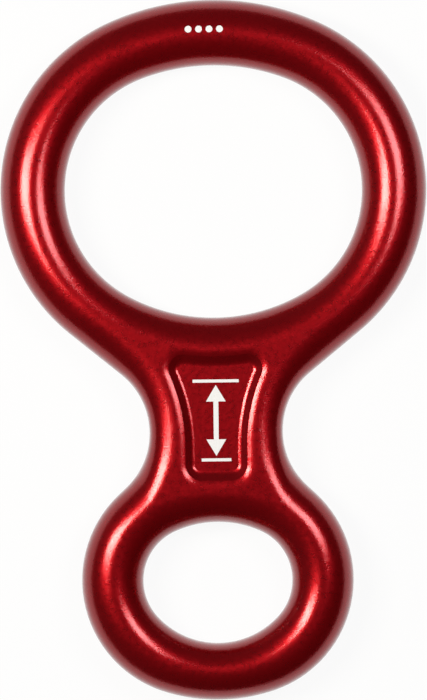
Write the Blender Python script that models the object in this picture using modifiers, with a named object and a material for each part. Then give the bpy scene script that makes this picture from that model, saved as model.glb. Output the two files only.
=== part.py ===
"""A figure eight descender: one closed forging of anodised aluminium alloy.

A large ring takes the rope, a small ring takes the carabiner, and a flat neck web
joins them. Each face of the neck carries a marking pad, sunk below a sloped wall.

It lies flat on its back. +X is its width, +Y runs along it towards the large ring and
+Z points up. The origin is at the middle of its length and width, at the underside.
"""
import math

import bmesh
import bpy
import numpy as np

MM = 0.001

# Overall size
LENGTH = 128.0 * MM
THICKNESS = 12.0 * MM

# Outer outline, as arcs that touch one another, with a straight flank on each side of the waist
LARGE_RING_WIDTH = 77.9 * MM
LARGE_RING_TOP_RADIUS = 46.8 * MM
LARGE_RING_SIDE_RADIUS = 33.6 * MM
WAIST_WIDTH = 24.4 * MM
WAIST_HEIGHT = -15.0 * MM
WAIST_RADIUS = 13.7 * MM
SMALL_RING_WIDTH = 49.7 * MM
SMALL_RING_SIDE_RADIUS = 21.4 * MM
SMALL_RING_END_RADIUS = 32.4 * MM

# Rope hole in the large ring
ROPE_HOLE_WIDTH = 54.3 * MM
ROPE_HOLE_OUTER_END = 52.0 * MM
ROPE_HOLE_INNER_END = 5.9 * MM
ROPE_HOLE_SIDE_RADIUS = 21.9 * MM
ROPE_HOLE_END_RADIUS = 37.1 * MM

# Carabiner hole in the small ring
CARABINER_HOLE_WIDTH = 27.2 * MM
CARABINER_HOLE_OUTER_END = -53.6 * MM
CARABINER_HOLE_INNER_END = -31.5 * MM
CARABINER_HOLE_SIDE_RADIUS = 9.8 * MM
CARABINER_HOLE_END_RADIUS = 19.0 * MM

# Section: the rings are round bars, and the neck has flat faces, rounded edges and steeper sides.
# A fullness of 2 is an ellipse, and a higher one stands up straighter at the edge.
WIDEST_ROUND_BAR = 12.5 * MM
ROPE_HOLE_ROUNDING = 6.4 * MM
CARABINER_HOLE_ROUNDING = 5.6 * MM
NECK_ROUNDING = 5.2 * MM
RING_FULLNESS = 2.0
NECK_FULLNESS = 3.3

# Sunk marking pad on each face of the neck
PAD_TOP = -2.7 * MM
PAD_BOTTOM = -22.3 * MM
PAD_WAIST_WIDTH = 8.3 * MM
PAD_WAIST_HEIGHT = -17.5 * MM
PAD_SIDE_RADIUS = 34.0 * MM
PAD_TOP_EDGE_RADIUS = 40.0 * MM
PAD_TOP_CORNER_RADIUS = 1.2 * MM
PAD_BOTTOM_CORNER_RADIUS = 1.5 * MM

# Wall round the pad, as offsets outwards from the pad's outline and depths under the neck's face.
# A rounded foot joins the pad to the wall, and a soft shoulder runs from the crease at its top to the face.
FOOT_START = -0.3 * MM
PAD_DEPTH = 1.15 * MM
FOOT_MIDDLE = 0.15 * MM
FOOT_MIDDLE_DEPTH = 1.07 * MM
FOOT_END = 0.53 * MM
FOOT_END_DEPTH = 0.88 * MM
WALL_CREASE = 1.49 * MM
CREASE_DEPTH = 0.24 * MM
SHOULDER_END = 2.8 * MM
CUTTER_RISE = 0.8 * MM

# Facets
LARGE_RING_RIBS = 40
SMALL_RING_RIBS = 26
NECK_RIBS = 20
QUARTER_STEPS = 6
OUTLINE_STEP = 0.1 * MM
PAD_ARC_STEPS = 8
SHARP_EDGE = math.radians(35.0)
WELD_DISTANCE = 0.001 * MM
MIRROR_WELD = 0.01 * MM
END_SLACK = 1e-6
PARALLEL = 1e-12

ANODISED_RED = (0.53, 0.003, 0.006, 1.0)
SATIN_ROUGHNESS = 0.4


class Outline:
    """One half of a closed outline, x >= 0, walked from one end on the axis to the other."""

    def __init__(self, arcs):
        corners = []
        for centre, radius, start, end in arcs:
            steps = max(2, math.ceil(abs(end - start) * radius / OUTLINE_STEP))
            angles = np.linspace(start, end, steps + 1)
            across, along = centre[0] + radius * np.cos(angles), centre[1] + radius * np.sin(angles)
            corners.append(np.stack([across, along], 1))
        points = np.concatenate(corners)
        legs = np.linalg.norm(np.diff(points, axis=0), axis=1)
        self.points = points[np.concatenate([[True], legs > WELD_DISTANCE])]
        legs = np.linalg.norm(np.diff(self.points, axis=0), axis=1)
        self.distances = np.concatenate([[0.0], np.cumsum(legs)])
        self.length = self.distances[-1]

    def at(self, distance):
        """The point at a distance along the outline."""
        return np.array([np.interp(distance, self.distances, self.points[:, axis]) for axis in (0, 1)])

    def right_hand(self, distance):
        """The unit normal there, to the right of the way that the outline is walked."""
        before = self.at(max(distance - OUTLINE_STEP, 0.0))
        after = self.at(min(distance + OUTLINE_STEP, self.length))
        ahead = (after - before) / np.linalg.norm(after - before)
        if distance in (0.0, self.length):
            ahead = np.array([math.copysign(1.0, ahead[0]), 0.0])
        return np.array([ahead[1], -ahead[0]])

    def reach(self, start, direction):
        """How far a straight line goes from start before it meets the outline, and where on the outline."""
        tail, leg = self.points[:-1], np.diff(self.points, axis=0)
        across = direction[0] * leg[:, 1] - direction[1] * leg[:, 0]
        across[np.abs(across) < PARALLEL] = PARALLEL
        offset = tail - start
        ahead = (offset[:, 0] * leg[:, 1] - offset[:, 1] * leg[:, 0]) / across
        part = (offset[:, 0] * direction[1] - offset[:, 1] * direction[0]) / across
        hits = np.flatnonzero((ahead > 0.0) & (part >= -END_SLACK) & (part <= 1.0 + END_SLACK))
        if not len(hits):
            return math.inf, self.length
        nearest = hits[np.argmin(ahead[hits])]
        before, after = self.distances[nearest:nearest + 2]
        return ahead[nearest], before + part[nearest] * (after - before)


def angle_of(centre, other):
    """The angle of the line from one centre to another."""
    return math.atan2(other[1] - centre[1], other[0] - centre[0])


def crossing_tangent(first, first_radius, second, second_radius, side):
    """The angle, seen from the first centre, of the straight flank that crosses between two circles."""
    gap = math.dist(first, second)
    return angle_of(first, second) + side * math.acos((first_radius + second_radius) / gap)


def outer_outline():
    """The half outline of the whole forging, from the top of the large ring to the foot of the small one."""
    top = (0.0, LENGTH / 2 - LARGE_RING_TOP_RADIUS)
    side_x = LARGE_RING_WIDTH / 2 - LARGE_RING_SIDE_RADIUS
    side_rise = math.sqrt((LARGE_RING_TOP_RADIUS - LARGE_RING_SIDE_RADIUS) ** 2 - side_x ** 2)
    side = (side_x, top[1] + side_rise)
    waist = (WAIST_WIDTH / 2 + WAIST_RADIUS, WAIST_HEIGHT)
    foot = (0.0, -LENGTH / 2 + SMALL_RING_END_RADIUS)
    hip_x = SMALL_RING_WIDTH / 2 - SMALL_RING_SIDE_RADIUS
    hip_drop = math.sqrt((SMALL_RING_END_RADIUS - SMALL_RING_SIDE_RADIUS) ** 2 - hip_x ** 2)
    hip = (hip_x, foot[1] - hip_drop)
    shoulder = angle_of(top, side)
    upper_flank = crossing_tangent(side, LARGE_RING_SIDE_RADIUS, waist, WAIST_RADIUS, 1)
    lower_flank = crossing_tangent(hip, SMALL_RING_SIDE_RADIUS, waist, WAIST_RADIUS, -1)
    heel = angle_of(foot, hip)
    return Outline([
        (top, LARGE_RING_TOP_RADIUS, math.pi / 2, shoulder),
        (side, LARGE_RING_SIDE_RADIUS, shoulder, upper_flank),
        (waist, WAIST_RADIUS, upper_flank + math.pi, lower_flank + math.pi),
        (hip, SMALL_RING_SIDE_RADIUS, lower_flank, heel),
        (foot, SMALL_RING_END_RADIUS, heel, -math.pi / 2),
    ])


def hole_outline(width, outer_end, inner_end, side_radius, end_radius, end_radius_is_outer):
    """The half outline of an oval hole, from its outer end to its neck end.

    One end's radius is given. The other follows, so that all three arcs touch.
    """
    given, other = (outer_end, inner_end) if end_radius_is_outer else (inner_end, outer_end)
    way = math.copysign(1.0, given - other)
    side_x = width / 2 - side_radius
    given_centre = (0.0, given - way * end_radius)
    side = (side_x, given_centre[1] + way * math.sqrt((end_radius - side_radius) ** 2 - side_x ** 2))
    depth = (side[1] - other) * way
    other_radius = (side_x ** 2 + depth ** 2 - side_radius ** 2) / (2 * (depth - side_radius))
    other_centre = (0.0, other + way * other_radius)
    first = angle_of(given_centre, side)
    second = angle_of(other_centre, side)
    arcs = [
        (given_centre, end_radius, way * math.pi / 2, first),
        (side, side_radius, first, second),
        (other_centre, other_radius, second, -way * math.pi / 2),
    ]
    if not end_radius_is_outer:
        arcs = [(centre, radius, end, start) for centre, radius, start, end in reversed(arcs)]
    return Outline(arcs)


def smooth(part):
    """Eases from 0 to 1."""
    part = min(max(part, 0.0), 1.0)
    return part * part * (3.0 - 2.0 * part)


def rounded_rib(edge, direction, rounding, fullness=RING_FULLNESS):
    """A quarter of the section, from the edge at mid thickness up to the crest or the flat face."""
    rib = []
    for step in range(QUARTER_STEPS + 1):
        angle = 0.5 * math.pi * step / QUARTER_STEPS
        place = edge + direction * rounding * (1.0 - math.cos(angle))
        rib.append((place[0], place[1], THICKNESS / 2 * math.sin(angle) ** (2.0 / fullness)))
    return rib


def ring_ribs(hole, outer, count, hand, hole_rounding):
    """The ribs round one ring: those at the hole, those at the outer edge, and where the outer ones end.

    Where the bar is narrow enough to be round, both ribs of a pair meet at its crest. From there on
    the neck widens, and a rib at the hole ends at the flat face.
    """
    places = [hole.length * step / count for step in range(count + 1)]
    walls = [outer.reach(hole.at(place), hand * hole.right_hand(place)) for place in places]
    round_count = next(index for index, wall in enumerate(walls) if wall[0] > WIDEST_ROUND_BAR)
    last_round = walls[round_count - 1][0] / 2
    hole_ribs, outer_ribs = [], []
    for index, place in enumerate(places):
        edge, direction = hole.at(place), hand * hole.right_hand(place)
        if index < round_count:
            half_bar = walls[index][0] / 2
            hole_ribs.append(rounded_rib(edge, direction, half_bar))
            outer_ribs.append(rounded_rib(edge + direction * 2 * half_bar, -direction, half_bar))
        else:
            ease = smooth((index - round_count + 1) / (count - round_count + 1))
            rounding = last_round + (hole_rounding - last_round) * ease
            hole_ribs.append(rounded_rib(edge, direction, rounding))
    final = {"place": walls[round_count - 1][1], "half_bar": last_round,
             "direction": -hand * hole.right_hand(places[round_count - 1])}
    return hole_ribs, outer_ribs, final


def neck_ribs(outer, upper, lower):
    """The ribs along the side of the neck, between the last round one of each ring."""
    waist = outer.distances[np.argmin(np.hypot(outer.points[:, 0] - WAIST_WIDTH / 2,
                                               outer.points[:, 1] - WAIST_HEIGHT))]
    ribs = []
    for step in range(1, NECK_RIBS):
        place = upper["place"] + (lower["place"] - upper["place"]) * step / NECK_RIBS
        nearest = upper if place < waist else lower
        ease = smooth((place - nearest["place"]) / (waist - nearest["place"]))
        direction = nearest["direction"] * (1.0 - ease) + outer.right_hand(place) * ease
        direction = direction / np.linalg.norm(direction)
        rounding = nearest["half_bar"] + (NECK_ROUNDING - nearest["half_bar"]) * ease
        fullness = RING_FULLNESS + (NECK_FULLNESS - RING_FULLNESS) * ease
        ribs.append(rounded_rib(outer.at(place), direction, rounding, fullness))
    return ribs


def skin(mesh, ribs):
    """Faces between each rib and the next."""
    rows = [[mesh.verts.new(corner) for corner in rib] for rib in ribs]
    for near, far in zip(rows, rows[1:]):
        for step in range(QUARTER_STEPS):
            mesh.faces.new((near[step], far[step], far[step + 1], near[step + 1]))
    return [row[-1].co.copy() for row in rows]


def forging_quarter():
    """A quarter of the forging, right of the axis and above mid thickness, open at both planes."""
    outer = outer_outline()
    rope_hole = hole_outline(ROPE_HOLE_WIDTH, ROPE_HOLE_OUTER_END, ROPE_HOLE_INNER_END,
                             ROPE_HOLE_SIDE_RADIUS, ROPE_HOLE_END_RADIUS, True)
    carabiner_hole = hole_outline(CARABINER_HOLE_WIDTH, CARABINER_HOLE_OUTER_END, CARABINER_HOLE_INNER_END,
                                  CARABINER_HOLE_SIDE_RADIUS, CARABINER_HOLE_END_RADIUS, False)
    rope_ribs, upper_ribs, upper = ring_ribs(rope_hole, outer, LARGE_RING_RIBS, -1, ROPE_HOLE_ROUNDING)
    carabiner_ribs, lower_ribs, lower = ring_ribs(carabiner_hole, outer, SMALL_RING_RIBS, 1,
                                                  CARABINER_HOLE_ROUNDING)
    mesh = bmesh.new()
    rope_crest = skin(mesh, rope_ribs)
    carabiner_crest = skin(mesh, carabiner_ribs)
    outer_ribs = upper_ribs + neck_ribs(outer, upper, lower) + lower_ribs[::-1]
    outer_crest = skin(mesh, outer_ribs)
    neck_side = outer_crest[len(upper_ribs) - 1:len(outer_ribs) - len(lower_ribs) + 1]
    flat = rope_crest[len(upper_ribs):] + carabiner_crest[:len(lower_ribs) - 1:-1] + neck_side[::-1]
    mesh.faces.new([mesh.verts.new(corner) for corner in flat])
    bmesh.ops.remove_doubles(mesh, verts=mesh.verts, dist=WELD_DISTANCE)
    bmesh.ops.recalc_face_normals(mesh, faces=mesh.faces)
    if max(mesh.faces, key=lambda face: face.calc_area()).normal.z < 0.0:
        bmesh.ops.reverse_faces(mesh, faces=mesh.faces)
    return mesh


def circle_touching(first, first_reach, second, second_reach):
    """The centre at the given distances from two others, on the right of the line between them."""
    gap = math.dist(first, second)
    along = (gap ** 2 + first_reach ** 2 - second_reach ** 2) / (2 * gap)
    aside = math.sqrt(first_reach ** 2 - along ** 2)
    ahead = ((second[0] - first[0]) / gap, (second[1] - first[1]) / gap)
    return (first[0] + ahead[0] * along + ahead[1] * aside, first[1] + ahead[1] * along - ahead[0] * aside)


def pad_loop(offset):
    """The pad's closed outline, or one outside it by the offset. Its sides curve as the neck's waist does."""
    top = (0.0, PAD_TOP + PAD_TOP_EDGE_RADIUS)
    side = (PAD_WAIST_WIDTH / 2 + PAD_SIDE_RADIUS, PAD_WAIST_HEIGHT)
    high_corner = circle_touching(top, PAD_TOP_EDGE_RADIUS + PAD_TOP_CORNER_RADIUS,
                                  side, PAD_SIDE_RADIUS + PAD_TOP_CORNER_RADIUS)
    low_corner = (PAD_WAIST_WIDTH / 2 - PAD_BOTTOM_CORNER_RADIUS, PAD_BOTTOM + PAD_BOTTOM_CORNER_RADIUS)
    corner_start, corner_end = angle_of(high_corner, top), angle_of(high_corner, side)
    arcs = [
        (top, PAD_TOP_EDGE_RADIUS - offset, -math.pi / 2, angle_of(top, high_corner)),
        (high_corner, PAD_TOP_CORNER_RADIUS + offset, corner_start, corner_end),
        (side, PAD_SIDE_RADIUS - offset, angle_of(side, high_corner), math.pi),
        (low_corner, PAD_BOTTOM_CORNER_RADIUS + offset, 0.0, -math.pi / 2),
    ]
    right = []
    for centre, radius, start, end in arcs:
        for angle in np.linspace(start, end, PAD_ARC_STEPS + 1):
            right.append((centre[0] + radius * math.cos(angle), centre[1] + radius * math.sin(angle)))
    left = [(-x, y) for x, y in reversed(right[1:])]
    return right + left


def pad_plugs():
    """Two closed plugs, one at each face of the neck, that fill the space over the sunk pads."""
    section = [
        (FOOT_START, -PAD_DEPTH),
        (FOOT_MIDDLE, -FOOT_MIDDLE_DEPTH),
        (FOOT_END, -FOOT_END_DEPTH),
        (WALL_CREASE, -CREASE_DEPTH),
        (SHOULDER_END, 0.0),
        (SHOULDER_END, CUTTER_RISE),
    ]
    mesh = bmesh.new()
    for face in (-1.0, 1.0):
        loops = [[mesh.verts.new((x, y, face * (THICKNESS / 2 + height))) for x, y in pad_loop(offset)]
                 for offset, height in section]
        for near, far in zip(loops, loops[1:]):
            for index in range(len(near)):
                mesh.faces.new((near[index - 1], near[index], far[index], far[index - 1]))
        mesh.faces.new(loops[0])
        mesh.faces.new(loops[-1])
    bmesh.ops.remove_doubles(mesh, verts=mesh.verts, dist=WELD_DISTANCE)
    bmesh.ops.recalc_face_normals(mesh, faces=mesh.faces)
    return mesh


def add_object(name, shape, collection):
    """An object that holds the shape, with its mid thickness half way up."""
    mesh = bpy.data.meshes.new(name)
    shape.to_mesh(mesh)
    shape.free()
    mesh.shade_smooth()
    mesh.set_sharp_from_angle(angle=SHARP_EDGE)
    body = bpy.data.objects.new(name, mesh)
    body.location = (0.0, 0.0, THICKNESS / 2)
    collection.objects.link(body)
    return body


def anodised_alloy():
    """Red anodised aluminium alloy with a satin gloss."""
    material = bpy.data.materials.new("red_anodised_alloy")
    material.use_nodes = True
    shader = material.node_tree.nodes["Principled BSDF"]
    shader.inputs["Base Color"].default_value = ANODISED_RED
    shader.inputs["Metallic"].default_value = 1.0
    shader.inputs["Roughness"].default_value = SATIN_ROUGHNESS
    return material


def new_collection(name):
    """A collection in the scene."""
    collection = bpy.data.collections.new(name)
    bpy.context.scene.collection.children.link(collection)
    return collection


def main():
    """Makes the descender and the cutter of its sunk pads."""
    for leftover in list(bpy.data.objects):
        bpy.data.objects.remove(leftover)
    descender = new_collection("figure_eight_descender")
    cutters = new_collection("cutters")

    cutter = add_object("pad_cutter", pad_plugs(), cutters)
    cutter.hide_render = True
    cutter.display_type = "WIRE"

    body = add_object("forged_body", forging_quarter(), descender)
    body.data.materials.append(anodised_alloy())
    mirror = body.modifiers.new("both_sides_and_faces", "MIRROR")
    mirror.use_axis = (True, False, True)
    mirror.merge_threshold = MIRROR_WELD
    sinking = body.modifiers.new("sunk_pads", "BOOLEAN")
    sinking.operation = "DIFFERENCE"
    sinking.solver = "EXACT"
    sinking.object = cutter


main()
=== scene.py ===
"""Looks of a red anodised figure eight descender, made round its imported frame.

Lengths are in metres, in the frame's axes: +X is the width, +Y runs along the object
towards its large ring, and +Z points up from the floor that it lies on.
"""
import math

import bmesh
import bpy
import numpy as np
from bpy.props import FloatProperty, FloatVectorProperty, PointerProperty
from mathutils import Matrix, Vector
from mathutils.geometry import delaunay_2d_cdt


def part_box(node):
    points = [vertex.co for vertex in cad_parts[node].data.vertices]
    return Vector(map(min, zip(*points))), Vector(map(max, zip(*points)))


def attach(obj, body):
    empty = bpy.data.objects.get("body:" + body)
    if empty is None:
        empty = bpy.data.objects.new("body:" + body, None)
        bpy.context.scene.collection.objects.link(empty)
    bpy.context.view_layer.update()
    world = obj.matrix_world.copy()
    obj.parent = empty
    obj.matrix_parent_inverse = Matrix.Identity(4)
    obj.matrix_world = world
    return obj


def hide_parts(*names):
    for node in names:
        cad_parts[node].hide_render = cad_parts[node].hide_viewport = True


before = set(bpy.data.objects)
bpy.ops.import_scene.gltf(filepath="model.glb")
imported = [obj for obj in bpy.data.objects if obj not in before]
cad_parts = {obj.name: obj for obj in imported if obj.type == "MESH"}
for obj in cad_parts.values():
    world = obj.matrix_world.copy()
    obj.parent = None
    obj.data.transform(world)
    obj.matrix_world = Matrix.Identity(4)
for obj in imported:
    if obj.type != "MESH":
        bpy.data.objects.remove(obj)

bl_info = {
    "name": "Figure Eight Descender",
    "version": (1, 0, 0),
    "blender": (4, 5, 0),
    "location": "View3D > Sidebar > Descender",
    "description": "Builds a forged and anodised figure eight descender and its studio",
    "category": "Add Mesh",
}

MM = 0.001
BODY_NODE = "forged_body"

# Overall size, from the frame
LOWEST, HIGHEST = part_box(BODY_NODE)
LENGTH = HIGHEST.y - LOWEST.y
THICKNESS = HIGHEST.z - LOWEST.z
LARGE_RING_WIDTH = HIGHEST.x - LOWEST.x

# Outer outline, as arcs that touch one another, with a straight flank on each side of the waist
LARGE_RING_TOP_RADIUS = 46.8 * MM
LARGE_RING_SIDE_RADIUS = 33.6 * MM
WAIST_WIDTH = 24.4 * MM
WAIST_HEIGHT = -15.0 * MM
WAIST_RADIUS = 13.7 * MM
SMALL_RING_WIDTH = 49.7 * MM
SMALL_RING_SIDE_RADIUS = 21.4 * MM
SMALL_RING_END_RADIUS = 32.4 * MM

# Rope hole in the large ring
ROPE_HOLE_WIDTH = 54.3 * MM
ROPE_HOLE_OUTER_END = 52.0 * MM
ROPE_HOLE_INNER_END = 5.9 * MM
ROPE_HOLE_SIDE_RADIUS = 21.9 * MM
ROPE_HOLE_END_RADIUS = 37.1 * MM

# Carabiner hole in the small ring
CARABINER_HOLE_WIDTH = 27.2 * MM
CARABINER_HOLE_OUTER_END = -53.6 * MM
CARABINER_HOLE_INNER_END = -31.5 * MM
CARABINER_HOLE_SIDE_RADIUS = 9.8 * MM
CARABINER_HOLE_END_RADIUS = 19.0 * MM

# Section: round bars in the rings, and flat faces with rounded edges on the neck
WIDEST_ROUND_BAR = 12.5 * MM
RING_FULLNESS = 2.0

# Marking pad on each face of the neck
PAD_TOP = -2.7 * MM
PAD_BOTTOM = -22.3 * MM
PAD_WAIST_WIDTH = 8.3 * MM
PAD_WAIST_HEIGHT = -17.5 * MM
PAD_SIDE_RADIUS = 34.0 * MM
PAD_TOP_EDGE_RADIUS = 40.0 * MM
PAD_TOP_CORNER_RADIUS = 1.2 * MM
PAD_BOTTOM_CORNER_RADIUS = 1.5 * MM

# Load arrow etched on the pad: a bar at each end, and an arrow between them
ARROW_TOP = -5.4 * MM
ARROW_BOTTOM = -20.3 * MM
ARROW_BAR = 0.55 * MM
ARROW_GAP = 0.45 * MM
ARROW_TOP_BAR_WIDTH = 8.4 * MM
ARROW_BOTTOM_BAR_WIDTH = 5.4 * MM
ARROW_HEAD_WIDTH = 3.6 * MM
ARROW_HEAD_LENGTH = 3.0 * MM
ARROW_SHAFT_WIDTH = 0.9 * MM

# Row of dots etched on the crest of the large ring
DOT_ROW_CENTRE = (-1.4 * MM, 58.3 * MM)
DOT_PITCH = 1.9 * MM
DOT_RADIUS = 0.62 * MM
DOT_COUNT = 4

# Fineness of the mesh
LARGE_RING_RIBS = 100
SMALL_RING_RIBS = 56
NECK_RIBS = 70
QUARTER_STEPS = 22
PAD_ARC_STEPS = 26
FLAT_SPACING = 0.5 * MM
RIM_CLEARANCE = 0.12 * MM
OUTLINE_STEP = 0.1 * MM
WELD_DISTANCE = 0.001 * MM

# Loops of points round the pad, from inside its outline over the foot, the wall and the shoulder
PAD_OFFSETS = [step * MM for step in (
    -0.4, -0.36, -0.28, -0.2, -0.12, -0.04, 0.04, 0.12, 0.2, 0.29, 0.38, 0.46,
    0.54, 0.64, 0.8, 1.0, 1.16, 1.32, 1.44, 1.49, 1.54, 1.68, 1.85, 2.05, 2.3)]

# Where the distance to the pad is worked out. Past it, one far value does
PAD_FIELD_HALF_WIDTH = 1.6 * PAD_WAIST_WIDTH
PAD_FIELD_TOP = PAD_TOP + 6.0 * MM
PAD_FIELD_BOTTOM = PAD_BOTTOM - 5.0 * MM
FAR_FROM_PAD = 9.0 * MM

# Numbers that count as nothing
END_SLACK = 1e-6
PARALLEL = 1e-12
NO_LENGTH = 1e-9
LENGTH_DECIMALS = 9
FILL_SLACK = 1e-5

# Patterns of the dyed alloy, by the size of their features
DYE_DRIFT = 14.0 * MM
ROUGHNESS_DRIFT = 0.9 * MM
ROUGHNESS_SPREAD = 0.05
COMMON_NOISE = (0.3, 0.7)
FORGED_WAVE = 3.0 * MM
# Tiny pits: sunk in the bump, and darkened with painted shade in the base colour
PIT_SPACING = 6.0 * MM
PIT_EDGE = (0.018, 0.034)
PIT_DEPTH = 2.0
UNDER_GLOSS_SPECULAR = 0.1

# Etched marks: paler and darker specks, as a laser leaves them
SPECK_SIZE = 0.25 * MM
SPECK_SHADE = 0.85
SPECK_HEIGHT = 0.01 * MM
ETCH_ROUGHNESS = 0.65

# The photograph's frame and where the object stands in it
PICTURE_HEIGHT_PIXELS = 700
PICTURE_SCALE = 128.02 * MM / PICTURE_HEIGHT_PIXELS
AXIS_RIGHT_OF_CENTRE = 1.72
MIDDLE_ABOVE_CENTRE = 0.23
LEAN_LEFT = math.radians(0.676)
CAMERA_DISTANCE = 0.9
NEAREST_SEEN = 0.01
SENSOR = 36.0

# Studio: a soft box on each side, the floor and the room
LEFT_LAMP_PLACE = (-0.206, 0.045, 0.361)
LEFT_LAMP_SIZE = (0.08, 0.185)
RIGHT_LAMP_PLACE = (0.176, 0.080, 0.396)
RIGHT_LAMP_SIZE = (0.11, 0.16)
FLOOR_HALF_WIDTH = 4.0
FLOOR_GLOW = 0.93
ROOM_LEVEL = 0.05
ROOM_SLOPE = (-0.03, 0.02, 0.0)


class DescenderSizes(bpy.types.PropertyGroup):
    """Sizes of the section, and of the foot, wall and shoulder round the sunk pad."""

    rope_hole_rounding: FloatProperty(
        name="Rope hole rounding", description="How far the rope hole's edge is rounded into the neck",
        default=6.4 * MM, min=1.0 * MM, max=6.6 * MM, unit="LENGTH")
    carabiner_hole_rounding: FloatProperty(
        name="Carabiner hole rounding",
        description="How far the carabiner hole's edge is rounded into the neck",
        default=5.6 * MM, min=1.0 * MM, max=6.0 * MM, unit="LENGTH")
    neck_rounding: FloatProperty(
        name="Neck rounding", description="How far the neck's side edges are rounded at the waist",
        default=5.2 * MM, min=1.0 * MM, max=6.0 * MM, unit="LENGTH")
    neck_fullness: FloatProperty(
        name="Neck fullness",
        description="2 is an ellipse, and more stands up straighter at the neck's sides",
        default=3.3, min=2.0, max=6.0)
    neck_ease: FloatProperty(
        name="Neck ease", description="2 is an ellipse, and more fades softly into the neck's flat face",
        default=2.3, min=2.0, max=4.0)
    foot_inset: FloatProperty(
        name="Foot inset",
        description="How far inside its outline the sunk pad starts to curve up into the wall",
        default=0.36 * MM, min=0.0, max=1.0 * MM, unit="LENGTH")
    foot_radius: FloatProperty(
        name="Foot radius", description="Radius between the sunk pad and the wall round it",
        default=1.6 * MM, min=0.1 * MM, max=2.0 * MM, unit="LENGTH")
    wall_tilt: FloatProperty(
        name="Wall tilt", description="How steeply the wall goes up from the sunk pad to the crease",
        default=math.radians(34.0), min=0.2, max=1.4, subtype="ANGLE")
    crease_offset: FloatProperty(
        name="Crease offset", description="From the pad's outline to the crease at the top of the wall",
        default=1.49 * MM, min=0.5 * MM, max=3.0 * MM, unit="LENGTH")
    shoulder_reach: FloatProperty(
        name="Shoulder reach",
        description="From the pad's outline to where the soft shoulder above the wall ends",
        default=2.97 * MM, min=1.0 * MM, max=4.0 * MM, unit="LENGTH")
    shoulder_radius: FloatProperty(
        name="Shoulder radius",
        description="Radius of the soft shoulder between the crease and the flat face",
        default=4.7 * MM, min=2.0 * MM, max=20.0 * MM, unit="LENGTH")


class DescenderFinish(bpy.types.PropertyGroup):
    """Colours and gloss of the anodised alloy and of the etched marks."""

    dye: FloatVectorProperty(
        name="Dye", description="Colour of the dyed oxide layer",
        default=(0.30, 0.0008, 0.0044), size=3, min=0.0, max=1.0, subtype="COLOR")
    deep_dye: FloatVectorProperty(
        name="Deep dye", description="Colour where the dye took more deeply",
        default=(0.27, 0.0007, 0.0038), size=3, min=0.0, max=1.0, subtype="COLOR")
    metal_roughness: FloatProperty(
        name="Metal roughness", description="Roughness of the blasted metal under the oxide",
        default=0.30, min=0.05, max=1.0)
    gloss_roughness: FloatProperty(
        name="Gloss roughness", description="Roughness of the sealed oxide layer",
        default=0.11, min=0.02, max=1.0)
    gloss_index: FloatProperty(
        name="Gloss index", description="Refractive index of the sealed oxide layer",
        default=1.38, min=1.0, max=2.5)
    metal_share: FloatProperty(
        name="Metal share",
        description="How much of the light comes back off the metal, and not from the dye",
        default=0.7, min=0.0, max=1.0)
    grain_size: FloatProperty(
        name="Grain size", description="Size of the blasted grain",
        default=0.24 * MM, min=0.05 * MM, max=2.0 * MM, unit="LENGTH")
    grain_height: FloatProperty(
        name="Grain height", description="Height of the blasted grain",
        default=0.021 * MM, min=0.0, max=0.1 * MM, unit="LENGTH")
    # Painted shade: a dark colour painted into the forging's few tiny pits, standing in for the shade that
    # falls in them
    shaded_pit: FloatVectorProperty(
        name="Pit", description="Colour in the forging's few tiny pits",
        default=(0.06, 0.001, 0.001), size=3, min=0.0, max=1.0, subtype="COLOR")
    etch: FloatVectorProperty(
        name="Etch", description="Colour of the marks etched through the dye",
        default=(0.88, 0.90, 0.93), size=3, min=0.0, max=1.0, subtype="COLOR")


class DescenderStudio(bpy.types.PropertyGroup):
    """The floor, the lamps and the room round the object."""

    floor: FloatVectorProperty(
        name="Floor", description="Colour of the floor",
        default=(0.82, 0.82, 0.82), size=3, min=0.0, max=1.0, subtype="COLOR")
    left_lamp: FloatProperty(
        name="Left lamp", description="Brightness of the lamp on the left", default=32.0, min=0.0)
    left_colour: FloatVectorProperty(
        name="Left colour", description="Colour of the lamp on the left",
        default=(1.0, 0.93, 0.82), size=3, min=0.0, max=1.0, subtype="COLOR")
    right_lamp: FloatProperty(
        name="Right lamp", description="Brightness of the lamp on the right", default=12.5, min=0.0)
    right_colour: FloatVectorProperty(
        name="Right colour", description="Colour of the lamp on the right",
        default=(1.0, 1.0, 1.0), size=3, min=0.0, max=1.0, subtype="COLOR")


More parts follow.
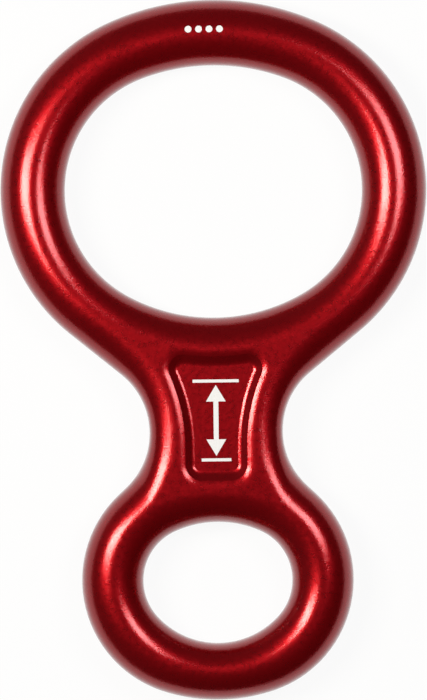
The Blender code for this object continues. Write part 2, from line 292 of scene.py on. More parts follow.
class Outline:
    """One half of a closed outline, x >= 0, walked from one end on the axis to the other."""

    def __init__(self, arcs):
        corners = []
        for centre, radius, start, end in arcs:
            steps = max(2, math.ceil(abs(end - start) * radius / OUTLINE_STEP))
            angles = np.linspace(start, end, steps + 1)
            around = np.stack([np.cos(angles), np.sin(angles)], 1)
            corners.append(np.array(centre) + radius * around)
        points = np.concatenate(corners)
        legs = np.linalg.norm(np.diff(points, axis=0), axis=1)
        self.points = points[np.concatenate([[True], legs > WELD_DISTANCE])]
        legs = np.linalg.norm(np.diff(self.points, axis=0), axis=1)
        self.distances = np.concatenate([[0.0], np.cumsum(legs)])
        self.length = self.distances[-1]

    def at(self, distance):
        """The point at a distance along the outline."""
        return np.array([np.interp(distance, self.distances, self.points[:, axis]) for axis in (0, 1)])

    def right_hand(self, distance):
        """The unit normal there, to the right of the way that the outline is walked."""
        before = self.at(max(distance - OUTLINE_STEP, 0.0))
        after = self.at(min(distance + OUTLINE_STEP, self.length))
        ahead = (after - before) / np.linalg.norm(after - before)
        if distance in (0.0, self.length):
            ahead = np.array([math.copysign(1.0, ahead[0]), 0.0])
        return np.array([ahead[1], -ahead[0]])

    def reach(self, start, direction):
        """How far a straight line goes from start before it meets the outline, and where on the outline."""
        tail, leg = self.points[:-1], np.diff(self.points, axis=0)
        across = direction[0] * leg[:, 1] - direction[1] * leg[:, 0]
        across[np.abs(across) < PARALLEL] = PARALLEL
        offset = tail - start
        ahead = (offset[:, 0] * leg[:, 1] - offset[:, 1] * leg[:, 0]) / across
        part = (offset[:, 0] * direction[1] - offset[:, 1] * direction[0]) / across
        hits = np.flatnonzero((ahead > 0.0) & (part >= -END_SLACK) & (part <= 1.0 + END_SLACK))
        if not len(hits):
            return math.inf, self.length
        nearest = hits[np.argmin(ahead[hits])]
        before, after = self.distances[nearest:nearest + 2]
        return ahead[nearest], before + part[nearest] * (after - before)


def angle_of(centre, other):
    """The angle of the line from one centre to another."""
    return math.atan2(other[1] - centre[1], other[0] - centre[0])


def crossing_tangent(first, first_radius, second, second_radius, side):
    """The angle, seen from the first centre, of the straight flank that crosses between two circles."""
    gap = math.dist(first, second)
    return angle_of(first, second) + side * math.acos((first_radius + second_radius) / gap)


def outer_outline():
    """The half outline of the forging, from the top of the large ring to the foot of the small one."""
    top = (0.0, LENGTH / 2 - LARGE_RING_TOP_RADIUS)
    side_x = LARGE_RING_WIDTH / 2 - LARGE_RING_SIDE_RADIUS
    side_rise = math.sqrt((LARGE_RING_TOP_RADIUS - LARGE_RING_SIDE_RADIUS) ** 2 - side_x ** 2)
    side = (side_x, top[1] + side_rise)
    waist = (WAIST_WIDTH / 2 + WAIST_RADIUS, WAIST_HEIGHT)
    foot = (0.0, -LENGTH / 2 + SMALL_RING_END_RADIUS)
    hip_x = SMALL_RING_WIDTH / 2 - SMALL_RING_SIDE_RADIUS
    hip_drop = math.sqrt((SMALL_RING_END_RADIUS - SMALL_RING_SIDE_RADIUS) ** 2 - hip_x ** 2)
    hip = (hip_x, foot[1] - hip_drop)
    shoulder = angle_of(top, side)
    upper_flank = crossing_tangent(side, LARGE_RING_SIDE_RADIUS, waist, WAIST_RADIUS, 1)
    lower_flank = crossing_tangent(hip, SMALL_RING_SIDE_RADIUS, waist, WAIST_RADIUS, -1)
    heel = angle_of(foot, hip)
    return Outline([
        (top, LARGE_RING_TOP_RADIUS, math.pi / 2, shoulder),
        (side, LARGE_RING_SIDE_RADIUS, shoulder, upper_flank),
        (waist, WAIST_RADIUS, upper_flank + math.pi, lower_flank + math.pi),
        (hip, SMALL_RING_SIDE_RADIUS, lower_flank, heel),
        (foot, SMALL_RING_END_RADIUS, heel, -math.pi / 2),
    ])


def hole_outline(width, outer_end, inner_end, side_radius, end_radius, end_radius_is_outer):
    """The half outline of an oval hole, from its outer end to its neck end.

    One end's radius is given. The other follows, so that all three arcs touch.
    """
    given, other = (outer_end, inner_end) if end_radius_is_outer else (inner_end, outer_end)
    way = math.copysign(1.0, given - other)
    side_x = width / 2 - side_radius
    given_centre = (0.0, given - way * end_radius)
    side = (side_x, given_centre[1] + way * math.sqrt((end_radius - side_radius) ** 2 - side_x ** 2))
    depth = (side[1] - other) * way
    other_radius = (side_x ** 2 + depth ** 2 - side_radius ** 2) / (2 * (depth - side_radius))
    other_centre = (0.0, other + way * other_radius)
    first = angle_of(given_centre, side)
    second = angle_of(other_centre, side)
    arcs = [
        (given_centre, end_radius, way * math.pi / 2, first),
        (side, side_radius, first, second),
        (other_centre, other_radius, second, -way * math.pi / 2),
    ]
    if not end_radius_is_outer:
        arcs = [(centre, radius, end, start) for centre, radius, start, end in reversed(arcs)]
    return Outline(arcs)


def smooth(part):
    """Eases from 0 to 1."""
    part = min(max(part, 0.0), 1.0)
    return part * part * (3.0 - 2.0 * part)


def flat_rib(edge, direction, rounding, fullness, ease):
    """The plan of a quarter section: places, each with its share of the rounding and its powers."""
    rib = []
    for step in range(QUARTER_STEPS + 1):
        share = 1.0 - math.cos(0.5 * math.pi * step / QUARTER_STEPS)
        place = edge + direction * rounding * share
        rib.append((place[0], place[1], share, fullness, ease))
    return rib


def ring_ribs(hole, outer, count, hand, hole_rounding):
    """The ribs round one ring: those at the hole, those at the outer edge, and where the outer ones end.

    Where the bar is narrow enough to be round, both ribs of a pair meet at its crest. From there on
    the neck widens, and a rib at the hole ends at the flat face.
    """
    places = [hole.length * step / count for step in range(count + 1)]
    walls = [outer.reach(hole.at(place), hand * hole.right_hand(place)) for place in places]
    round_count = next(index for index, wall in enumerate(walls) if wall[0] > WIDEST_ROUND_BAR)
    last_round = walls[round_count - 1][0] / 2
    hole_ribs, outer_ribs = [], []
    for index, place in enumerate(places):
        edge, direction = hole.at(place), hand * hole.right_hand(place)
        if index < round_count:
            half_bar = walls[index][0] / 2
            hole_ribs.append(flat_rib(edge, direction, half_bar, RING_FULLNESS, RING_FULLNESS))
            outer_ribs.append(flat_rib(edge + direction * 2 * half_bar, -direction, half_bar,
                                       RING_FULLNESS, RING_FULLNESS))
        else:
            ease = smooth((index - round_count + 1) / (count - round_count + 1))
            rounding = last_round + (hole_rounding - last_round) * ease
            hole_ribs.append(flat_rib(edge, direction, rounding, RING_FULLNESS, RING_FULLNESS))
    final = {"place": walls[round_count - 1][1], "half_bar": last_round,
             "direction": -hand * hole.right_hand(places[round_count - 1])}
    return hole_ribs, outer_ribs, final


def neck_ribs(outer, upper, lower, sizes):
    """The ribs along the side of the neck, between the last round one of each ring."""
    waist = outer.distances[np.argmin(np.hypot(outer.points[:, 0] - WAIST_WIDTH / 2,
                                               outer.points[:, 1] - WAIST_HEIGHT))]
    ribs = []
    for step in range(1, NECK_RIBS):
        place = upper["place"] + (lower["place"] - upper["place"]) * step / NECK_RIBS
        nearest = upper if place < waist else lower
        ease = smooth((place - nearest["place"]) / (waist - nearest["place"]))
        direction = nearest["direction"] * (1.0 - ease) + outer.right_hand(place) * ease
        direction = direction / np.linalg.norm(direction)
        rounding = nearest["half_bar"] + (sizes.neck_rounding - nearest["half_bar"]) * ease
        fullness = RING_FULLNESS + (sizes.neck_fullness - RING_FULLNESS) * ease
        softness = RING_FULLNESS + (sizes.neck_ease - RING_FULLNESS) * ease
        ribs.append(flat_rib(outer.at(place), direction, rounding, fullness, softness))
    return ribs


def circle_touching(first, first_reach, second, second_reach):
    """The centre at the given distances from two others, on the right of the line between them."""
    gap = math.dist(first, second)
    along = (gap ** 2 + first_reach ** 2 - second_reach ** 2) / (2 * gap)
    aside = math.sqrt(first_reach ** 2 - along ** 2)
    ahead = ((second[0] - first[0]) / gap, (second[1] - first[1]) / gap)
    return (first[0] + ahead[0] * along + ahead[1] * aside, first[1] + ahead[1] * along - ahead[0] * aside)


def pad_half_loop(offset):
    """The right half of the pad's outline, or of one outside it by the offset, from its top to its foot."""
    top = (0.0, PAD_TOP + PAD_TOP_EDGE_RADIUS)
    side = (PAD_WAIST_WIDTH / 2 + PAD_SIDE_RADIUS, PAD_WAIST_HEIGHT)
    high_corner = circle_touching(top, PAD_TOP_EDGE_RADIUS + PAD_TOP_CORNER_RADIUS,
                                  side, PAD_SIDE_RADIUS + PAD_TOP_CORNER_RADIUS)
    corner_start, corner_end = angle_of(high_corner, top), angle_of(high_corner, side)
    low_corner = (PAD_WAIST_WIDTH / 2 - PAD_BOTTOM_CORNER_RADIUS, PAD_BOTTOM + PAD_BOTTOM_CORNER_RADIUS)
    arcs = [
        (top, PAD_TOP_EDGE_RADIUS - offset, -math.pi / 2, angle_of(top, high_corner)),
        (high_corner, PAD_TOP_CORNER_RADIUS + offset, corner_start, corner_end),
        (side, PAD_SIDE_RADIUS - offset, angle_of(side, high_corner), math.pi),
        (low_corner, PAD_BOTTOM_CORNER_RADIUS + offset, 0.0, -math.pi / 2),
    ]
    loop = []
    for centre, radius, start, end in arcs:
        for angle in np.linspace(start, end, PAD_ARC_STEPS + 1):
            loop.append((centre[0] + radius * math.cos(angle), centre[1] + radius * math.sin(angle)))
    foot_y = loop[-1][1]
    foot_steps = max(2, math.ceil(loop[-1][0] / FLAT_SPACING))
    loop += [(loop[-1][0] * (1 - step / foot_steps), foot_y) for step in range(1, foot_steps + 1)]
    return loop


def inside(points, loop):
    """Whether each point lies inside a closed loop."""
    x, y = points[:, :1], points[:, 1:]
    ends = np.roll(loop, -1, axis=0)
    spans = (loop[:, 1] > y) != (ends[:, 1] > y)
    rise = np.where(ends[:, 1] == loop[:, 1], 1.0, ends[:, 1] - loop[:, 1])
    crossings = (ends[:, 0] - loop[:, 0]) * (y - loop[:, 1]) / rise + loop[:, 0]
    return (spans & (x < crossings)).sum(1) % 2 == 1


def distance_to(points, loop):
    """The distance from each point to a closed loop."""
    nearest = np.full(len(points), np.inf)
    for tail, head in zip(loop, np.roll(loop, -1, axis=0)):
        leg = head - tail
        square = max(leg @ leg, NO_LENGTH ** 2)
        part = np.clip((points - tail) @ leg / square, 0.0, 1.0)
        nearest = np.minimum(nearest, np.linalg.norm(points - tail - part[:, None] * leg, axis=1))
    return nearest


def pad_offsets(points):
    """How far each point lies outside the pad's outline. Inside it, the number is negative."""
    right = np.array(pad_half_loop(0.0))
    loop = np.concatenate([right, (right * (-1.0, 1.0))[-2:0:-1]])
    near = np.full(len(points), FAR_FROM_PAD)
    chosen = np.abs(points[:, 0]) < PAD_FIELD_HALF_WIDTH
    chosen &= (points[:, 1] < PAD_FIELD_TOP) & (points[:, 1] > PAD_FIELD_BOTTOM)
    away = distance_to(points[chosen], loop)
    near[chosen] = np.where(inside(points[chosen], loop), -away, away)
    return near


def half_arrow():
    """The right halves of the load arrow's outlines: a bar, the arrow and a bar."""
    shaft, head = ARROW_SHAFT_WIDTH / 2, ARROW_HEAD_WIDTH / 2
    high, low = ARROW_TOP - ARROW_BAR - ARROW_GAP, ARROW_BOTTOM + ARROW_BAR + ARROW_GAP
    bars = []
    for edge, inner_edge, width in ((ARROW_TOP, ARROW_TOP - ARROW_BAR, ARROW_TOP_BAR_WIDTH),
                                    (ARROW_BOTTOM, ARROW_BOTTOM + ARROW_BAR, ARROW_BOTTOM_BAR_WIDTH)):
        bars.append([(0.0, edge), (width / 2, edge), (width / 2, inner_edge), (0.0, inner_edge)])
    arrow = [(0.0, high), (head, high - ARROW_HEAD_LENGTH), (shaft, high - ARROW_HEAD_LENGTH),
             (shaft, low + ARROW_HEAD_LENGTH), (head, low + ARROW_HEAD_LENGTH), (0.0, low)]
    return bars + [arrow]


class FlatPlan:
    """The right half of the body's upper face in plan, with what its height follows at each point."""

    def __init__(self):
        self.points, self.shares, self.fullness, self.ease = [], [], [], []
        self.faces, self.etched = [], []

    def add_point(self, x, y, share, fullness, ease):
        """Adds a point and returns its number."""
        self.points.append((x, y))
        self.shares.append(share)
        self.fullness.append(fullness)
        self.ease.append(ease)
        return len(self.points) - 1

    def add_ribs(self, ribs):
        """Faces between each rib and the next. Returns the points at the ribs' inner ends."""
        rows = [[self.add_point(*place) for place in rib] for rib in ribs]
        for near, far in zip(rows, rows[1:]):
            for step in range(QUARTER_STEPS):
                self.faces.append((near[step], far[step], far[step + 1], near[step + 1]))
                self.etched.append(False)
        return [row[-1] for row in rows]

    def add_flat(self, rim):
        """Fills the face inside the rim, with points along the pad's wall and the load arrow."""
        top, foot = self.points[rim[0]], self.points[rim[-1]]
        loops = [pad_half_loop(offset) for offset in PAD_OFFSETS]
        arrow = half_arrow()
        stops = sorted({round(y, LENGTH_DECIMALS) for line in loops + arrow for x, y in line
                        if abs(x) < NO_LENGTH})
        steps = round((top[1] - foot[1]) / FLAT_SPACING)
        stops += [foot[1] + (top[1] - foot[1]) * step / steps for step in range(1, steps)]
        axis = sorted(y for y in set(stops) if foot[1] + RIM_CLEARANCE < y < top[1] - RIM_CLEARANCE)
        corners = [self.points[index] for index in rim] + [(0.0, y) for y in axis]
        polygon = list(range(len(corners)))
        loose, ties = [], []
        rim_line = np.array([self.points[index] for index in rim])
        edge_line = np.concatenate([rim_line, (rim_line * (-1.0, 1.0))[::-1]])
        for line in loops:
            places = np.array(line)
            kept = inside(places, edge_line) & (distance_to(places, edge_line) > RIM_CLEARANCE)
            numbers = len(corners) + len(loose) + np.cumsum(kept) - 1
            loose += [tuple(place) for place in places[kept]]
            ties += [(int(numbers[index]), int(numbers[index + 1])) for index in range(len(line) - 1)
                     if kept[index] and kept[index + 1]]
        for line in arrow:
            start = len(corners) + len(loose)
            loose += line
            ties += [(start + index, start + (index + 1) % len(line)) for index in range(len(line))]
        grid = self.grid_inside(edge_line)
        loose += [tuple(place) for place in grid]
        flat = [Vector((x / MM, y / MM)) for x, y in corners + loose]
        made, _, faces, origins, _, _ = delaunay_2d_cdt(flat, ties, [polygon], 1, FILL_SLACK)
        numbers = []
        for place, origin in zip(made, origins):
            on_rim = [index for index in origin if index < len(rim)]
            if on_rim:
                numbers.append(rim[on_rim[0]])
            else:
                numbers.append(self.add_point(place.x * MM, place.y * MM, 1.0, RING_FULLNESS,
                                              RING_FULLNESS))
        made = np.array(made) * MM
        middles = np.array([made[list(face)].mean(0) for face in faces])
        etched = np.zeros(len(faces), bool)
        for line in arrow:
            etched |= inside(middles, np.array(line))
        self.faces += [tuple(numbers[index] for index in face) for face in faces]
        self.etched += list(etched)

    @staticmethod
    def grid_inside(rim):
        """An even grid inside the rim, clear of it, of the axis and of the loops round the pad."""
        low, high = rim.min(0), rim.max(0)
        across = np.arange(FLAT_SPACING, high[0], FLAT_SPACING)
        along = np.arange(low[1], high[1], FLAT_SPACING)
        grid = np.stack(np.meshgrid(across, along), -1).reshape(-1, 2)
        grid = grid[inside(grid, rim) & (distance_to(grid, rim) > FLAT_SPACING / 2)]
        offsets = pad_offsets(grid)
        on_floor = offsets < PAD_OFFSETS[0] - RIM_CLEARANCE
        past_shoulder = offsets > PAD_OFFSETS[-1] + RIM_CLEARANCE
        return grid[on_floor | past_shoulder]

    def object(self, name):
        """An object with the plan as a flat mesh, and its rules as attributes."""
        mesh = bpy.data.meshes.new(name)
        points = np.array(self.points)
        mesh.from_pydata([(x, y, 0.0) for x, y in points], [], self.faces)
        offsets = pad_offsets(points)
        rules = {"edge_share": self.shares, "fullness": self.fullness, "ease": self.ease,
                 "pad_offset": offsets}
        for rule, values in rules.items():
            attribute = mesh.attributes.new(rule, "FLOAT", "POINT")
            attribute.data.foreach_set("value", np.array(values, np.float32))
        etched = mesh.attributes.new("etched", "BOOLEAN", "FACE")
        etched.data.foreach_set("value", np.array(self.etched, bool))
        flat = bpy.data.objects.new(name, mesh)
        bpy.context.scene.collection.objects.link(flat)
        return flat


def body_plan(sizes):
    """The flat plan of the body's right half, seen from above."""
    outer = outer_outline()
    rope_hole = hole_outline(ROPE_HOLE_WIDTH, ROPE_HOLE_OUTER_END, ROPE_HOLE_INNER_END,
                             ROPE_HOLE_SIDE_RADIUS, ROPE_HOLE_END_RADIUS, True)
    carabiner_hole = hole_outline(CARABINER_HOLE_WIDTH, CARABINER_HOLE_OUTER_END, CARABINER_HOLE_INNER_END,
                                  CARABINER_HOLE_SIDE_RADIUS, CARABINER_HOLE_END_RADIUS, False)
    rope_ribs, upper_ribs, upper = ring_ribs(rope_hole, outer, LARGE_RING_RIBS, -1,
                                             sizes.rope_hole_rounding)
    carabiner_ribs, lower_ribs, lower = ring_ribs(carabiner_hole, outer, SMALL_RING_RIBS, 1,
                                                  sizes.carabiner_hole_rounding)
    outer_ribs = upper_ribs + neck_ribs(outer, upper, lower, sizes) + lower_ribs[::-1]
    plan = FlatPlan()
    rope_rim = plan.add_ribs(rope_ribs)
    carabiner_rim = plan.add_ribs(carabiner_ribs)
    outer_rim = plan.add_ribs(outer_ribs)
    neck_side = outer_rim[len(upper_ribs) - 1:len(outer_ribs) - len(lower_ribs) + 1]
    rim = rope_rim[len(upper_ribs):][::-1] + neck_side + carabiner_rim[len(lower_ribs):]
    plan.add_flat(rim)
    return plan


class Tree:
    """Short calls to add nodes and links to a node tree."""

    def __init__(self, tree):
        self.tree = tree

    def add(self, kind, settings=None, **inputs):
        """A node with its settings and inputs. An input is a socket to link or a value to set."""
        node = self.tree.nodes.new(kind)
        for name, value in (settings or {}).items():
            setattr(node, name, value)
        for name, value in inputs.items():
            key = int(name[1:]) if name[0] == "_" and name[1:].isdigit() else name.replace("_", " ")
            if isinstance(value, bpy.types.NodeSocket):
                self.tree.links.new(value, node.inputs[key])
            else:
                node.inputs[key].default_value = value
        return node

    def math(self, operation, first, second=0.0):
        """The outcome of one sum."""
        node = self.add("ShaderNodeMath", {"operation": operation}, _0=first, _1=second)
        return node.outputs[0]

    def attribute(self, name, data_type="FLOAT"):
        """A named attribute of the geometry."""
        node = self.add("GeometryNodeInputNamedAttribute", {"data_type": data_type}, Name=name)
        return node.outputs["Attribute"]


def fillet_drop(tree, run, radius, arc_run, wall_tilt):
    """How far a wall is off its flat at a run from it: first round an arc, then straight at a tilt."""
    on_arc = tree.math("MINIMUM", tree.math("MAXIMUM", run, 0.0), arc_run)
    squares = [tree.math("POWER", length, 2.0) for length in (radius, on_arc)]
    chord = tree.math("SQRT", tree.math("SUBTRACT", *squares))
    past_arc = tree.math("MAXIMUM", tree.math("SUBTRACT", run, arc_run), 0.0)
    straight = tree.math("MULTIPLY", past_arc, tree.math("TANGENT", wall_tilt))
    return tree.math("ADD", tree.math("SUBTRACT", radius, chord), straight)


def section_tree():
    """Geometry nodes that raise the flat plan to the forged section and mirror it to a whole body."""
    group = bpy.data.node_groups.new("forged section", "GeometryNodeTree")
    inputs = {
        "Geometry": ("Plan",),
        "Float": ("Thickness", "Pad Depth", "Foot Inset", "Foot Radius", "Wall Tilt", "Crease Offset",
                  "Shoulder Reach", "Shoulder Radius"),
        "Material": ("Alloy", "Etch"),
    }
    for kind, names in inputs.items():
        for name in names:
            group.interface.new_socket(name=name, in_out="INPUT", socket_type=f"NodeSocket{kind}")
    group.interface.new_socket(name="Body", in_out="OUTPUT", socket_type="NodeSocketGeometry")
    tree = Tree(group)
    given = tree.add("NodeGroupInput").outputs

    from_crest = tree.math("SUBTRACT", 1.0, tree.attribute("edge_share"))
    fallen = tree.math("SUBTRACT", 1.0, tree.math("POWER", from_crest, tree.attribute("ease")))
    rounded = tree.math("POWER", fallen, tree.math("DIVIDE", 1.0, tree.attribute("fullness")))
    half = tree.math("MULTIPLY", given["Thickness"], 0.5)
    height = tree.math("MULTIPLY", rounded, half)

    offset = tree.attribute("pad_offset")
    from_foot = tree.math("ADD", tree.math("MINIMUM", offset, given["Crease Offset"]), given["Foot Inset"])
    foot_run = tree.math("MULTIPLY", given["Foot Radius"], tree.math("SINE", given["Wall Tilt"]))
    risen = fillet_drop(tree, from_foot, given["Foot Radius"], foot_run, given["Wall Tilt"])
    from_shoulder = tree.math("SUBTRACT", given["Shoulder Reach"], offset)
    shoulder_run = tree.math("SUBTRACT", given["Shoulder Reach"], given["Crease Offset"])
    fallen_in = fillet_drop(tree, from_shoulder, given["Shoulder Radius"], shoulder_run, given["Wall Tilt"])
    depth = tree.math("MINIMUM", tree.math("SUBTRACT", given["Pad Depth"], risen), fallen_in)
    lift = tree.add("ShaderNodeCombineXYZ", None, Z=tree.math("SUBTRACT", height, depth))
    raised = tree.add("GeometryNodeSetPosition", None, Geometry=given["Plan"], Offset=lift.outputs[0])

    shape = raised.outputs[0]
    for name, scale in (("left half", (-1.0, 1.0, 1.0)), ("under side", (1.0, 1.0, -1.0))):
        turned = tree.add("GeometryNodeTransform", {"label": name}, Geometry=shape, Scale=scale)
        facing = tree.add("GeometryNodeFlipFaces", None, Mesh=turned.outputs[0])
        both = tree.add("GeometryNodeJoinGeometry")
        group.links.new(shape, both.inputs[0])
        group.links.new(facing.outputs[0], both.inputs[0])
        shape = tree.add("GeometryNodeMergeByDistance", None, Geometry=both.outputs[0],
                         Distance=WELD_DISTANCE).outputs[0]
    whole_body = tree.add("GeometryNodeTransform", None, Geometry=shape,
                          Translation=tree.add("ShaderNodeCombineXYZ", None, Z=half).outputs[0])
    soft = tree.add("GeometryNodeSetShadeSmooth", None, Geometry=whole_body.outputs[0])
    real = tree.add("GeometryNodeRealizeInstances", None, Geometry=soft.outputs[0])
    dyed = tree.add("GeometryNodeSetMaterial", None, Geometry=real.outputs[0], Material=given["Alloy"])
    place = tree.add("GeometryNodeInputPosition")
    level = tree.add("ShaderNodeSeparateXYZ", None, Vector=place.outputs[0]).outputs[2]
    upper = tree.math("GREATER_THAN", level, half)
    marked = tree.math("MULTIPLY", upper, tree.attribute("etched", "BOOLEAN"))
    marks = tree.add("GeometryNodeSetMaterial", None, Geometry=dyed.outputs[0], Selection=marked,
                     Material=given["Etch"])
    last = tree.add("NodeGroupOutput")
    group.links.new(marks.outputs[0], last.inputs[0])
    return group


def pad_depth(sizes):
    """How deep the sunk pad lies under the neck's face, so that its foot, wall and shoulder join up."""
    foot_run = sizes.foot_radius * math.sin(sizes.wall_tilt)
    foot_rise = sizes.foot_radius * (1.0 - math.cos(sizes.wall_tilt))
    wall_rise = (sizes.crease_offset + sizes.foot_inset - foot_run) * math.tan(sizes.wall_tilt)
    shoulder_run = sizes.shoulder_reach - sizes.crease_offset
    chord = math.sqrt(sizes.shoulder_radius ** 2 - shoulder_run ** 2)
    return foot_rise + wall_rise + sizes.shoulder_radius - chord


def set_inputs(modifier, values):
    """Sets a geometry nodes modifier's inputs, each found by its name and set by its identifier."""
    for item in modifier.node_group.interface.items_tree:
        if item.in_out == "INPUT" and item.name in values:
            modifier[item.identifier] = values[item.name]


def finished_mesh(source, name):
    """A plain closed mesh object of what a source's modifiers make. The source is removed."""
    view = bpy.context.evaluated_depsgraph_get()
    mesh = bpy.data.meshes.new_from_object(source.evaluated_get(view), depsgraph=view)
    old = source.data
    bpy.data.objects.remove(source)
    bpy.data.meshes.remove(old)
    mesh.name = name
    shape = bmesh.new()
    shape.from_mesh(mesh)
    bmesh.ops.remove_doubles(shape, verts=shape.verts, dist=WELD_DISTANCE)
    bmesh.ops.recalc_face_normals(shape, faces=shape.faces)
    open_edges = [edge for edge in shape.edges if len(edge.link_faces) != 2]
    shape.to_mesh(mesh)
    shape.free()
    if open_edges:
        raise RuntimeError(f"{name} has {len(open_edges)} open edges")
    for attribute in ("edge_share", "fullness", "ease", "pad_offset", "etched"):
        if attribute in mesh.attributes:
            mesh.attributes.remove(mesh.attributes[attribute])
    piece = bpy.data.objects.new(name, mesh)
    bpy.context.scene.collection.objects.link(piece)
    return piece


def etched_dots(tree, place):
    """A mask that is 1 on a row of round dots on the upper face, and 0 elsewhere."""
    parts = tree.add("ShaderNodeSeparateXYZ", None, Vector=place).outputs
    across = tree.math("DIVIDE", tree.math("SUBTRACT", parts[0], DOT_ROW_CENTRE[0]), DOT_PITCH)
    in_row = tree.math("LESS_THAN", tree.math("ABSOLUTE", across), DOT_COUNT / 2)
    from_dot = tree.math("SUBTRACT", tree.math("FRACT", tree.math("ADD", across, DOT_COUNT / 2)), 0.5)
    side = tree.math("POWER", tree.math("ABSOLUTE", tree.math("MULTIPLY", from_dot, DOT_PITCH)), 2.0)
    from_row = tree.math("ABSOLUTE", tree.math("SUBTRACT", parts[1], DOT_ROW_CENTRE[1]))
    along = tree.math("POWER", from_row, 2.0)
    reach = tree.math("SQRT", tree.math("ADD", side, along))
    dot = tree.math("LESS_THAN", reach, DOT_RADIUS)
    upper = tree.math("GREATER_THAN", parts[2], THICKNESS / 2)
    return tree.math("MULTIPLY", tree.math("MULTIPLY", dot, in_row), upper)


def anodised_alloy(finish):
    """Dyed and sealed oxide over blasted alloy: a rough red metal under a thin clear gloss."""
    material = bpy.data.materials.new("red anodised alloy")
    material.use_nodes = True
    links = material.node_tree.links
    tree = Tree(material.node_tree)
    shader = material.node_tree.nodes["Principled BSDF"]
    place = tree.add("ShaderNodeTexCoord").outputs["Object"]

    def noise(size, detail):
        """Noise whose features are of the given size."""
        node = tree.add("ShaderNodeTexNoise", None, Vector=place, Scale=1.0 / size, Detail=detail)
        return node.outputs[0]

    def blend(share, first, second):
        """A mix of two colours."""
        node = tree.add("ShaderNodeMix", {"data_type": "RGBA"}, _0=share)
        for socket, colour in ((node.inputs[6], first), (node.inputs[7], second)):
            if isinstance(colour, bpy.types.NodeSocket):
                links.new(colour, socket)
            else:
                socket.default_value = (*colour, 1.0)
        return node.outputs[2]

    def spread(value, low, high, from_low=0.0, from_high=1.0):
        """A value mapped to another range."""
        node = tree.add("ShaderNodeMapRange", None, Value=value)
        node.inputs["From Min"].default_value = from_low
        node.inputs["From Max"].default_value = from_high
        node.inputs["To Min"].default_value = low
        node.inputs["To Max"].default_value = high
        return node.outputs[0]

    dots = etched_dots(tree, place)
    dye = blend(noise(DYE_DRIFT, 4.0), finish.deep_dye, finish.dye)
    cells = tree.add("ShaderNodeTexVoronoi", {"feature": "F1"}, Vector=place, Scale=1.0 / PIT_SPACING)
    # Painted shade: the tiny pits are darkened in the base colour, and are also sunk in the bump below
    shaded_pit = spread(cells.outputs["Distance"], 1.0, 0.0, *PIT_EDGE)
    dyed = blend(shaded_pit, dye, finish.shaded_pit)
    metal = tree.math("MULTIPLY", tree.math("SUBTRACT", 1.0, dots), finish.metal_share)
    roughness = spread(noise(ROUGHNESS_DRIFT, 3.0), finish.metal_roughness - ROUGHNESS_SPREAD,
                       finish.metal_roughness + ROUGHNESS_SPREAD, *COMMON_NOISE)
    links.new(blend(dots, dyed, finish.etch), shader.inputs["Base Color"])
    links.new(metal, shader.inputs["Metallic"])
    links.new(roughness, shader.inputs["Roughness"])
    shader.inputs["Specular IOR Level"].default_value = UNDER_GLOSS_SPECULAR
    shader.inputs["Coat Weight"].default_value = 1.0
    shader.inputs["Coat Roughness"].default_value = finish.gloss_roughness
    shader.inputs["Coat IOR"].default_value = finish.gloss_index

    grain = tree.math("ADD", noise(finish.grain_size, 2.0), noise(FORGED_WAVE, 2.0))
    relief = tree.math("SUBTRACT", grain, tree.math("MULTIPLY", shaded_pit, PIT_DEPTH))
    bump = tree.add("ShaderNodeBump", None, Height=relief, Distance=finish.grain_height, Strength=1.0)
    links.new(bump.outputs[0], shader.inputs["Normal"])
    links.new(bump.outputs[0], shader.inputs["Coat Normal"])
    return material


def laser_etch(finish):
    """Pale bare alloy where a laser has burnt off the dye."""
    material = bpy.data.materials.new("laser etch")
    material.use_nodes = True
    tree = Tree(material.node_tree)
    shader = material.node_tree.nodes["Principled BSDF"]
    place = tree.add("ShaderNodeTexCoord").outputs["Object"]
    speckle = tree.add("ShaderNodeTexNoise", None, Vector=place, Scale=1.0 / SPECK_SIZE, Detail=2.0)
    tone = tree.add("ShaderNodeMix", {"data_type": "RGBA"}, _0=speckle.outputs[0])
    tone.inputs[6].default_value = (*[part * SPECK_SHADE for part in finish.etch], 1.0)
    tone.inputs[7].default_value = (*finish.etch, 1.0)
    material.node_tree.links.new(tone.outputs[2], shader.inputs["Base Color"])
    shader.inputs["Roughness"].default_value = ETCH_ROUGHNESS
    bump = tree.add("ShaderNodeBump", None, Height=speckle.outputs[0], Distance=SPECK_HEIGHT, Strength=0.5)
    material.node_tree.links.new(bump.outputs[0], shader.inputs["Normal"])
    return material


class DESCENDER_OT_forged_body(bpy.types.Operator):
    """Forge the body: two rings and a neck with sunk pads, dyed red and etched"""

    bl_idname = "descender.forged_body"
    bl_label = "Forged Body"

    def execute(self, context):
        sizes, finish = context.scene.descender_sizes, context.scene.descender_finish
        plan = body_plan(sizes).object("body_plan")
        modifier = plan.modifiers.new("forged section", "NODES")
        modifier.node_group = section_tree()
        set_inputs(modifier, {
            "Thickness": THICKNESS, "Pad Depth": pad_depth(sizes), "Foot Inset": sizes.foot_inset,
            "Foot Radius": sizes.foot_radius, "Wall Tilt": sizes.wall_tilt,
            "Crease Offset": sizes.crease_offset, "Shoulder Reach": sizes.shoulder_reach,
            "Shoulder Radius": sizes.shoulder_radius, "Alloy": anodised_alloy(finish),
            "Etch": laser_etch(finish),
        })
        body = finished_mesh(plan, "forged_body_skin")
        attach(body, "root")
        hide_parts(BODY_NODE)
        return {"FINISHED"}


